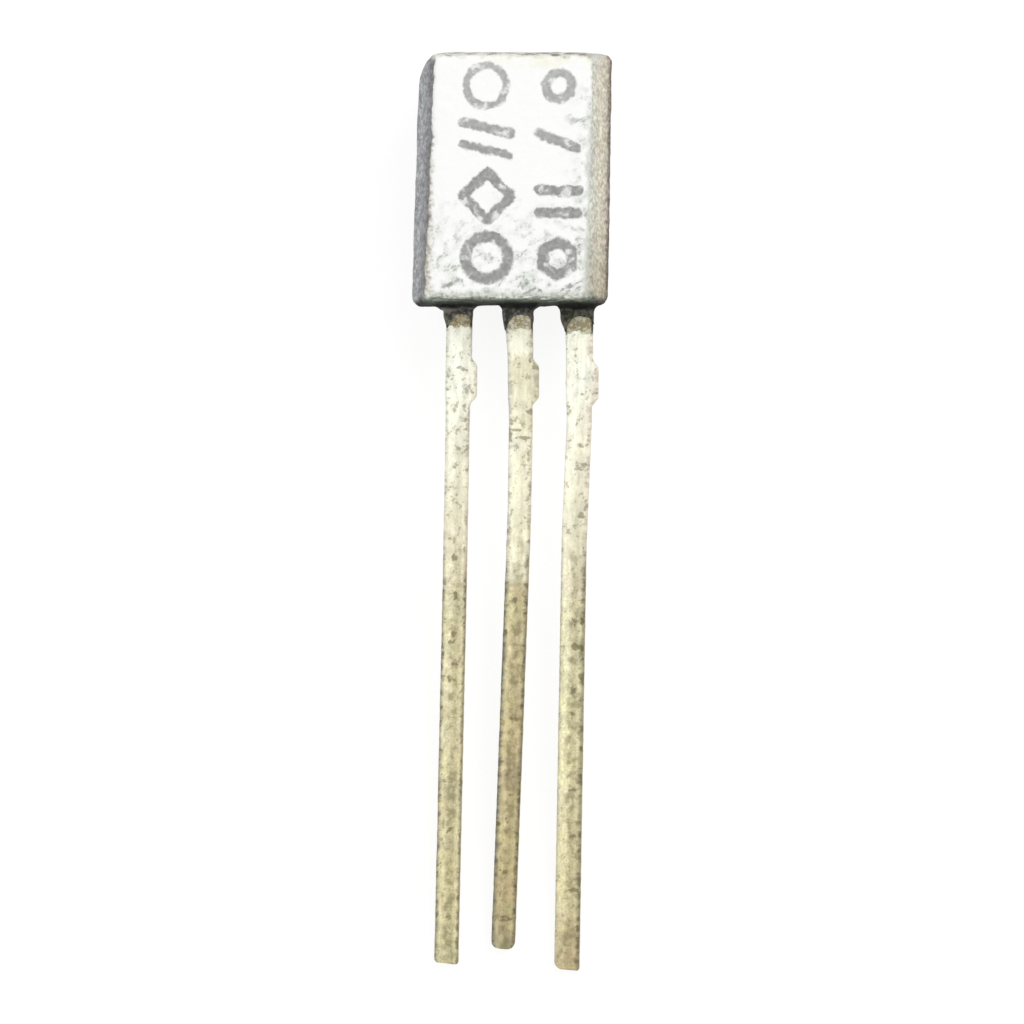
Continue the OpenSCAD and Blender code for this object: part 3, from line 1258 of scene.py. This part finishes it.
@dataclass(frozen=True)
class TinFinish:
    """Dull tin plating, pale below the case and khaki further down, with dark pits.

    Args:
        name: Name of the material.
        length: Length of the lead below the case.
        stops: The plating's shade at each distance below the case.
        left: The stamped left edge, below and above the middle of the lead, darkened by wear and
            by painted shade where it rounds off.
        right: The stamped right edge, below and above the middle of the lead, darkened by wear and
            by painted shade where it rounds off.
        band: How far across the shading of the left and right edges begins, from 0 to 1.
        groove: Painted shade in the shallow groove along its face: what it lets through.
        slope: What its right half lets through.
        stain_end: Distance below the case at which the stain at the collar ends.
        stain: That stain's darker and lighter blotches.
        skin: The thin skin of resin along the edges at the stain.
        pit: The bottom of a pit.
        fibre: How many times longer the plating's fine grain is along each axis.
        streak: The same for its streaks.
        shine: How metallic it looks.
    """

    name: str
    length: float
    stops: Stops
    # Edge shades: wear, with painted shade where the rounded edges turn away.
    left: tuple[Shade, Shade] = ((140, 136, 118), (212, 210, 196))
    right: tuple[Shade, Shade] = ((140, 130, 102), (204, 194, 176))
    band: Span = (0.64, 0.7)
    # Painted shade of the shallow groove along the lead's face.
    groove: Shade = (228, 226, 217)
    slope: Shade = (248, 247, 245)
    stain_end: float = 0.5
    stain: tuple[Shade, Shade] = ((144, 134, 96), (208, 203, 182))
    skin: Shade = (74, 72, 58)
    pit: Shade = (120, 111, 78)
    fibre: tuple[float, float, float] = (1.0, 5.0, 1.0)
    streak: tuple[float, float, float] = (1.0, 4.0, 1.0)
    shine: float = 0.4

    def material(self, rest: RestPose) -> bpy.types.Material:
        """Writes the material.

        Args:
            rest: The pose that the lead lies in.

        Returns:
            The material.
        """
        r = TinRecipe(self.name, rest)
        down = r.calc("DIVIDE", r.swing(r.y, (r.medium, 0.12)), -self.length)
        colour = r.ramp(down, [(d / self.length, shade) for d, shade in self.stops])
        fibre, streak = r.grain(15.0, 2.0, self.fibre), r.grain(6.0, 2.0, self.streak)
        colour = r.blotted(colour, (fibre, 0.12), (streak, 0.12))
        spotted = r.blotted(colour, (r.fine, 0.25))
        colour = r.tinged(r.mix(r.line(r.lower, 0.65, 0.35), colour, spotted), 2.2, 0.11)
        for layer in (self.grooved, self.edged, self.pitted, self.stained):
            colour = layer(r, colour)
        r.relief(r.line(r.medium, 0.7, r.times(r.fine, 0.4)), 0.02, 0.4)
        return r.finish(colour, r.mask(r.medium, -1.2, 1.2), self.shine)

    def grooved(self, r: "TinRecipe", colour: Source) -> Source:
        """Paints shade into the shallow groove along the lead's middle, and darkens the half to
        its right a little.

        Args:
            r: The recipe.
            colour: The plating.

        Returns:
            The plating with its groove.
        """
        across = r.swing(r.across, (r.medium, 0.4))
        deep = r.line(r.lower, 0.35, r.times(r.mask(r.y, -1.8, -3.4), 0.4))
        groove = r.times(r.mask(r.away(across, 0.18), 0.54, 0.08), deep)
        colour = r.mix(r.mask(across, -0.5, 0.6), colour, self.slope, "MULTIPLY")
        # Painted shade in the groove along the lead's middle.
        return r.mix(groove, colour, self.groove, "MULTIPLY")

    def edged(self, r: "TinRecipe", colour: Source) -> Source:
        """Darkens the stamped edges with wear and with painted shade where they round off; they
        are ragged and broken, and darker on the lower half.

        Args:
            r: The recipe.
            colour: The plating.

        Returns:
            The plating with its edges.
        """
        side = r.mask(r.across, -0.3, 0.3)
        ragged = r.swing(r.away(r.across), (r.medium, 0.4), (r.fine, 0.4))
        start = r.line(side, self.band[1] - self.band[0], self.band[0])
        broken = r.mask(r.swing(r.grain(9.0, 2.0, (3.0, 1.0, 3.0)), (r.medium, 0.5)), 0.4, 0.6)
        whole = r.higher(broken, r.line(r.lower, 0.3, 0.4))
        edge = r.times(r.mask(ragged, start, 0.96), whole)
        edge = r.times(edge, r.line(r.mask(r.away(r.z), 0.17, 0.12), -0.65, 1.0))
        left, right = (r.mix(r.lower, above, below) for below, above in (self.left, self.right))
        # Wear and painted shade along the rounded edges.
        return r.mix(edge, colour, r.mix(side, left, right))

    def pitted(self, r: "TinRecipe", colour: Source) -> Source:
        """Adds the nicks and the plating's own pits, which lie along the lower half's middle.

        Args:
            r: The recipe.
            colour: The plating.

        Returns:
            The pitted plating.
        """
        specks = r.swing(r.grain(6.5, 2.5, (0.8, 1.5, 1.0), turn=-20.0), (r.fine, 0.8))
        own = r.times(r.mask(specks, 0.57, 0.76), r.line(r.lower, 0.05, 0.5))
        blotch = r.mask(r.swing(r.medium, (r.fine, 0.9), (r.grain(2.0), 0.7)), 0.47, 0.68)
        middle = r.times(r.lower, r.mask(r.away(r.across, 0.15), 0.85, 0.25))
        own = r.higher(own, r.times(r.times(blotch, middle), 0.5))
        pit = r.attribute("pit")
        nicks = r.mask(r.swing(pit, (r.fine, 2.2), (r.medium, 1.4)), 0.15, 0.85)
        nicks = r.times(r.times(nicks, r.mask(pit, 0.0, 0.25)), r.line(r.lower, 0.18, 0.6))
        return r.mix(r.higher(own, nicks), colour, self.pit)

    def stained(self, r: "TinRecipe", colour: Source) -> Source:
        """Adds the tan stain below the collar, with a thin skin of resin down both its edges.

        Args:
            r: The recipe.
            colour: The plating.

        Returns:
            The stained plating.
        """
        end = -self.stain_end
        height = r.swing(r.y, (r.medium, 0.26), (r.fine, 0.16))
        stain = r.mix(r.mask(r.swing(r.fine, (r.medium, 0.8)), 0.38, 0.62), *self.stain)
        stain = r.tinged(stain, 4.0, 0.16)
        colour = r.mix(r.mask(height, end - 0.01, end + 0.03), colour, stain)
        edge = r.mask(r.swing(r.away(r.across), (r.fine, 0.3)), 0.82, 0.95)
        return r.mix(r.times(edge, r.mask(height, end - 0.12, end + 0.08)), colour, self.skin)


class TinRecipe(Recipe):
    """A plating's recipe, with the noises and measures that several of its layers use."""

    def __init__(self, name: str, rest: RestPose) -> None:
        """Starts the plating.

        Args:
            name: Name of the material.
            rest: The pose that the lead lies in.
        """
        super().__init__(name, rest)
        self.medium = self.grain(6.5, 4.0)
        self.fine = self.grain(15.0, 3.0)
        # 1 on the lower half of the lead.
        self.lower = self.mask(self.swing(self.y, (self.grain(1.3, 3.0), 2.0)), -4.2, -6.4)
        # From -1 at the lead's left edge to 1 at its right edge.
        self.across = self.attribute("across")


@dataclass
class Ruler:
    """Measures where a lead's edges are at each distance below the case.

    Args:
        shape: The lead's shape, in upright millimetres.
        step: Length of one reading.
    """

    shape: bmesh.types.BMesh
    step: float = 0.1

    def __post_init__(self) -> None:
        """Takes the readings."""
        self.edges: dict[int, list[float]] = {}
        for vert in self.shape.verts:
            seen = self.edges.setdefault(self.slot_of(vert.co.y), [vert.co.x, vert.co.x])
            seen[0] = min(seen[0], vert.co.x)
            seen[1] = max(seen[1], vert.co.x)

    def slot_of(self, y: float) -> int:
        """Number of the reading that a height falls in."""
        return math.floor(y / self.step)

    def across(self, point: Vector) -> float:
        """Place of a point across the lead, from -1 at its left edge to 1 at its right edge."""
        left, right = self.edges[self.slot_of(point.y)]
        return 2 * (point.x - left) / (right - left) - 1


@dataclass
class Lead:
    """One stamped and tinned lead, with its paddle or head inside the case.

    Args:
        node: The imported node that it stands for.
        finish: Its plating.
        slim: How far its left and right edges are worn in below the case.
        marks: The pits and marks in its face, each as the numbers of a Nick.
        root: How far below the case the left edge starts to wear.
        grid: Size of a face of its skin.
        passes: How often the skin is smoothed.
        full: How far the plating fills out what the smoothing takes off.
        grit: Features in a millimetre and depth of its unevenness.
        dent: Depth of the deepest nick.
    """

    node: str
    finish: TinFinish
    slim: Span
    marks: tuple[tuple[float, ...], ...]
    root: float = 0.5
    grid: float = 0.026
    passes: int = 2
    full: float = 0.005
    grit: Span = (6.0, 0.006)
    dent: float = 0.02

    def swell(self, point: Vector, _: Vector) -> float:
        """How far a point of the plating stands out."""
        fine, rough = self.grit
        return self.full + noise.fractal(point * fine, 1.0, 2.0, 3) * rough

    def build(self, rest: RestPose) -> bpy.types.Object:
        """Makes the lead.

        Args:
            rest: The pose that it lies in.

        Returns:
            The finished object.
        """
        shape = even_skin(upright_copy(self.node, rest), self.grid, self.passes)
        ruler = Ruler(shape)
        nicks = [Nick(*mark) for mark in self.marks]
        across = [ruler.across(v.co) for v in shape.verts]
        pit = [
            max(nick.at(-v.co.y, place) for nick in nicks) if v.co.z > 0 else 0.0
            for v, place in zip(shape.verts, across)
        ]
        push_points(shape, self.swell)
        for vert, deep, place in zip(shape.verts, pit, across):
            vert.co.z -= self.dent * deep
            start, end = (0.0, -0.2) if place > 0 else (-self.root, -2.2 * self.root)
            worn = ease(vert.co.y, start, end)
            vert.co.x -= self.slim[0 if place < 0 else 1] * place * worn
        marks = {"pit": pit, "across": across}
        tin = self.finish.material(rest)
        name = f"{self.node}_plated"
        return Piece(name, shape, tin, "tinned_lead", (self.node,), marks).place(rest)


# A mark is a Nick's distance below the case, place across, half length, half width and darkness.
LEADS = (
    Lead(
        "collector_lead",
        TinFinish(
            "tin_collector",
            length=13.93,
            stops=(
                (0.0, (255, 255, 241)), (1.3, (255, 255, 241)), (2.0, (252, 252, 236)),
                (3.6, (248, 246, 226)), (5.4, (240, 233, 208)), (6.6, (230, 223, 188)),
                (9.0, (233, 226, 188)), (12.6, (226, 218, 178)), (13.9, (214, 208, 168)),
            ),
            stain=((150, 142, 106), (200, 194, 166)), stain_end=0.46,
        ),
        slim=(0.026, 0.023),
        marks=(
            (1.36, 0.05, 0.09, 0.32, 0.55), (1.7, 0.2, 0.2, 0.2, 0.5),
            (2.15, 0.65, 0.12, 0.22, 0.7), (2.42, 0.55, 0.06, 0.4, 0.6),
            (2.68, 0.1, 0.08, 0.35, 0.6), (3.05, 0.1, 0.1, 0.25, 0.5),
            (3.35, 0.05, 0.08, 0.3, 0.6), (3.95, 0.05, 0.08, 0.25, 0.5),
            (4.95, -0.4, 0.025, 0.5, 0.55), (5.18, 0.3, 0.05, 0.4, 0.6),
            (5.32, -0.05, 0.08, 0.25, 0.75), (6.14, 0.1, 0.09, 0.25, 0.85),
            (6.93, 0.05, 0.12, 0.25, 0.75), (7.12, -0.2, 0.05, 0.35, 0.7),
            (7.6, 0.1, 0.06, 0.4, 0.6), (7.9, -0.15, 0.09, 0.25, 0.7),
            (10.08, -0.2, 0.02, 0.6, 0.6), (11.08, 0.05, 0.08, 0.25, 0.65),
            (12.95, 0.1, 0.08, 0.3, 0.6),
        ),
        root=0.25,
    ),
    Lead(
        "base_lead",
        TinFinish(
            "tin_base",
            length=13.6,
            stops=(
                (0.0, (255, 255, 238)), (0.95, (255, 255, 236)), (1.2, (237, 233, 208)),
                (2.4, (246, 242, 217)), (2.9, (254, 252, 230)), (5.7, (248, 244, 218)),
                (5.9, (218, 210, 170)), (8.5, (215, 203, 161)), (12.8, (209, 194, 152)),
                (13.6, (194, 187, 153)),
            ),
            left=((116, 118, 106), (210, 209, 198)), right=((112, 104, 82), (196, 190, 168)),
            band=(0.52, 0.6), groove=(232, 230, 224),
            stain=((168, 161, 127), (230, 224, 204)), stain_end=0.52,
        ),
        slim=(0.036, 0.021),
        marks=(
            (1.16, 0.66, 0.12, 0.16, 0.5), (1.3, 0.9, 0.08, 0.22, 0.9),
            (2.24, 0.8, 0.06, 0.4, 0.9), (2.62, -0.5, 0.03, 0.5, 0.95),
            (2.78, 0.2, 0.035, 0.9, 0.85), (2.7, -0.9, 0.12, 0.2, 0.9),
            (5.92, 0.85, 0.07, 0.25, 0.9), (6.2, -0.05, 0.1, 0.25, 0.75),
            (6.9, -0.85, 0.06, 0.3, 0.95), (8.73, 0.25, 0.05, 0.35, 0.8),
            (9.9, -0.1, 0.08, 0.25, 0.5), (10.3, 0.1, 0.08, 0.25, 0.6),
            (10.86, 0.0, 0.07, 0.4, 0.85), (10.95, -0.85, 0.04, 0.3, 0.9),
            (11.95, -0.1, 0.06, 0.35, 0.9), (12.96, 0.0, 0.08, 0.6, 0.8),
        ),
    ),
    Lead(
        "emitter_lead",
        TinFinish(
            "tin_emitter",
            length=14.02,
            stops=(
                (0.0, (255, 255, 240)), (1.6, (254, 254, 240)), (2.6, (254, 252, 234)),
                (4.4, (246, 243, 221)), (5.8, (239, 233, 205)), (7.0, (236, 232, 195)),
                (10.0, (239, 233, 195)), (12.8, (227, 218, 177)), (13.2, (216, 202, 162)),
                (14.0, (210, 195, 156)),
            ),
            left=((200, 196, 172), (238, 235, 222)), right=((128, 120, 92), (216, 204, 188)),
            band=(0.75, 0.48), groove=(222, 219, 210),
            stain=((154, 148, 116), (210, 204, 182)), stain_end=0.56,
        ),
        slim=(0.012, 0.012),
        marks=(
            (1.5, 0.15, 0.1, 0.35, 0.5), (1.86, 0.2, 0.08, 0.3, 0.4), (2.2, -0.85, 0.12, 0.2, 0.6),
            (2.92, 0.35, 0.05, 0.45, 0.8), (3.39, 0.35, 0.07, 0.4, 0.95),
            (4.38, 0.5, 0.08, 0.4, 0.85), (6.2, 0.7, 0.04, 0.3, 0.7), (6.65, 0.2, 0.08, 0.22, 0.7),
            (6.66, 0.75, 0.09, 0.2, 0.7), (7.18, 0.45, 0.08, 0.5, 1.0),
            (8.12, 0.15, 0.1, 0.25, 0.7), (8.6, 0.1, 0.06, 0.3, 0.5), (10.2, 0.3, 0.06, 0.35, 0.9),
            (11.2, 0.3, 0.09, 0.3, 0.8), (12.33, 0.5, 0.06, 0.5, 0.85),
            (13.1, 0.85, 0.09, 0.2, 0.9),
        ),
    ),
)


# ---- What the case hides ----


@dataclass(frozen=True)
class InnerFinish:
    """The finish of a piece inside the case.

    Args:
        name: Name of the material.
        light: Its lighter shade.
        deep: Its deeper shade.
        scale: Number of grains in a millimetre.
        roughness: Roughness of the surface.
        metallic: 1 for metal.
    """

    name: str
    light: Shade
    deep: Shade
    scale: float
    roughness: float
    metallic: float

    def material(self, rest: RestPose) -> bpy.types.Material:
        """Writes the material.

        Args:
            rest: The pose that the piece lies in.

        Returns:
            The material.
        """
        r = Recipe(self.name, rest)
        grains = r.grain(self.scale, 3.0)
        r.relief(grains, 0.004, 0.3)
        colour = r.mix(r.mask(grains, 0.35, 0.65), self.light, self.deep)
        return r.finish(colour, self.roughness, self.metallic)


@dataclass
class InnerParts:
    """The chip, its solder and the two bond wires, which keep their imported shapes.

    Args:
        rest: The pose that they lie in.
        silicon: The chip's finish.
        solder: The finish of the solder under it.
        gold: The finish of both wires.
    """

    rest: RestPose
    silicon: InnerFinish = InnerFinish(
        "silicon", light=(74, 80, 96), deep=(52, 56, 70),
        scale=18.0, roughness=0.3, metallic=0.2,
    )
    solder: InnerFinish = InnerFinish(
        "solder", light=(186, 186, 180), deep=(150, 150, 144),
        scale=14.0, roughness=0.45, metallic=0.9,
    )
    gold: InnerFinish = InnerFinish(
        "gold_wire", light=(236, 196, 92), deep=(214, 170, 70),
        scale=20.0, roughness=0.3, metallic=1.0,
    )

    def dress(self) -> None:
        """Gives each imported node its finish."""
        gold = self.gold.material(self.rest)
        finishes = {
            "die": self.silicon.material(self.rest),
            "die_attach": self.solder.material(self.rest),
            "base_bond_wire": gold,
            "emitter_bond_wire": gold,
        }
        for node, material in finishes.items():
            mesh = frame["nodes"][node].data
            mesh.materials.clear()
            mesh.materials.append(material)
            LOG.info("%s: packed solid, finished in %s", node, material.name)


# ---- Studio ----


@dataclass(frozen=True)
class Lamp:
    """One soft lamp that faces the part.

    Args:
        name: Its name.
        place: Its place in upright millimetres, from the middle of the picture.
        side: Side of its square face.
        share: How much it adds to the light on a surface that faces it.
    """

    name: str
    place: tuple[float, float, float]
    side: float
    share: float


@dataclass
class Studio:
    """Pale floor, soft light and the camera that looks straight at the flat face.

    Args:
        rest: The pose that the part lies in.
        aim: The spot in the picture's middle, in upright millimetres.
        distance: Distance of the camera from the lead plane.
        view_width: Width of the lead plane that the picture takes in.
        clip: The nearest and furthest that the camera sees, in metres.
        roll: How far the part leans to the right in the picture, in degrees.
        yaw: How far the camera stands to the right of the flat face's own axis, in degrees.
        ambient: Strength of the even light from all round.
        lamps: The lamps.
        floor_side: Side of the floor.
        floor_cells: Number of its cells along a side.
        floor_colour: The floor's own linear colour.
        floor_roughness: Its roughness.
        floor_gloss: Strength of its shine.
        floor_share: How much of the floor's colour in the picture is lit by the lamps.
        floor_glow: How much of it is there without them.
    """

    rest: RestPose
    aim: tuple[float, float, float] = (0.094, -4.354, 0.0)
    distance: float = 180.0
    view_width: float = 21.65
    clip: Span = (0.005, 20.0)
    roll: float = 0.9
    yaw: float = 2.4
    ambient: float = 0.66
    lamps: tuple[Lamp, ...] = (
        Lamp("key_lamp", place=(110.0, 130.0, 230.0), side=160.0, share=0.34),
        Lamp("fill_lamp", place=(-160.0, -40.0, 200.0), side=200.0, share=0.1),
    )
    floor_side: float = 900.0
    floor_cells: int = 8
    floor_colour: tuple[float, float, float, float] = (0.86, 0.86, 0.85, 1.0)
    floor_roughness: float = 0.9
    floor_gloss: float = 0.1
    floor_share: float = 0.2
    floor_glow: float = 0.86

    @staticmethod
    def choose(tree: bpy.types.NodeTree, real: Socket, shown: Socket, output: str) -> None:
        """Lets the camera, mirrors and glass see one shader, and the light meet another.

        Args:
            tree: The node tree.
            real: What the light meets.
            shown: What the camera, mirrors and glass see.
            output: Name of the tree's output node.
        """
        path = add_node(tree, "LightPath", {})
        seen = path.outputs["Is Camera Ray"]
        for name in ("Is Glossy Ray", "Is Transmission Ray"):
            sockets = {0: seen, 1: path.outputs[name]}
            seen = add_node(tree, "Math", sockets, operation="MAXIMUM").outputs[0]
        choice = add_node(tree, "MixShader", {0: seen, 1: real, 2: shown})
        feed(tree, tree.nodes[output].inputs["Surface"], choice.outputs[0])

    def light_room(self) -> None:
        """Sets the even light, which is white where the picture shows it."""
        world = bpy.data.worlds.new("studio")
        world.use_nodes = True
        tree = world.node_tree
        lit = tree.nodes["Background"]
        lit.inputs["Strength"].default_value = self.ambient
        lit.inputs["Color"].default_value = WHITE
        white = add_node(tree, "Background", {"Color": WHITE})
        self.choose(tree, lit.outputs[0], white.outputs[0], "World Output")
        bpy.context.scene.world = world

    def lay_floor(self) -> None:
        """Lays the floor, which shows white and keeps a soft shadow."""
        shape = bmesh.new()
        cells, size = self.floor_cells, self.floor_side * MM / 2
        bmesh.ops.create_grid(shape, x_segments=cells, y_segments=cells, size=size)
        mesh = bpy.data.meshes.new("floor")
        shape.to_mesh(mesh)
        shape.free()
        material = bpy.data.materials.new("floor_paper")
        material.use_nodes = True
        tree = material.node_tree
        plain = tree.nodes["Principled BSDF"]
        plain.inputs["Base Color"].default_value = self.floor_colour
        plain.inputs["Roughness"].default_value = self.floor_roughness
        plain.inputs["Specular IOR Level"].default_value = self.floor_gloss
        lit = add_node(tree, "BsdfDiffuse", {"Color": [self.floor_share] * 3 + [1.0]})
        glow = add_node(tree, "Emission", {"Strength": self.floor_glow})
        both = add_node(tree, "AddShader", {0: lit.outputs[0], 1: glow.outputs[0]})
        self.choose(tree, plain.outputs[0], both.outputs[0], "Material Output")
        mesh.materials.append(material)
        floor = add_object("floor", mesh)

    def hang_lamp(self, lamp: Lamp) -> None:
        """Hangs one lamp.

        Args:
            lamp: The lamp.
        """
        offset = Vector(lamp.place)
        light = bpy.data.lights.new(lamp.name, "AREA")
        light.size = lamp.side * MM
        light.energy = lamp.share * math.pi**2 * (offset.length * MM)**2
        turn = Matrix.Rotation(self.rest.lean, 4, "X")
        spot = self.rest.to_row @ (Vector(self.aim) + offset)
        facing = (turn @ offset).to_track_quat("Z", "Y").to_matrix().to_4x4()
        add_object(lamp.name, light).matrix_world = Matrix.Translation(spot) @ facing

    def set_camera(self) -> None:
        """Sets the camera square on to the flat face."""
        camera = bpy.data.cameras.new("camera")
        camera.lens = camera.sensor_width * self.distance / self.view_width
        camera.clip_start, camera.clip_end = self.clip
        holder = add_object("camera", camera)
        aside = Matrix.Rotation(math.radians(self.yaw), 4, "Y")
        back_off = aside @ Vector((0.0, 0.0, self.distance))
        spot = Matrix.Translation(self.rest.to_row @ (Vector(self.aim) + back_off))
        turn = Matrix.Rotation(self.rest.lean, 4, "X")
        upright = Matrix.Rotation(math.radians(self.roll), 4, "Z")
        holder.matrix_world = spot @ turn @ aside @ upright
        bpy.context.scene.camera = holder

    def build(self) -> None:
        """Sets up the whole studio."""
        bpy.context.scene.view_settings.view_transform = "Standard"
        self.set_camera()
        self.light_room()
        self.lay_floor()
        for lamp in self.lamps:
            self.hang_lamp(lamp)


def main() -> None:
    """Builds the studio, the case, the leads and what the case hides."""
    logging.basicConfig(level=logging.INFO, format="%(name)s %(message)s")
    rest = RestPose.from_record(frame["record"])
    LOG.info("the part leans %.2f degrees", math.degrees(rest.lean))
    Studio(rest).build()
    CaseMoulding(rest).build()
    for lead in LEADS:
        lead.build(rest)
    InnerParts(rest).dress()


if __name__ == "__main__":
    main()
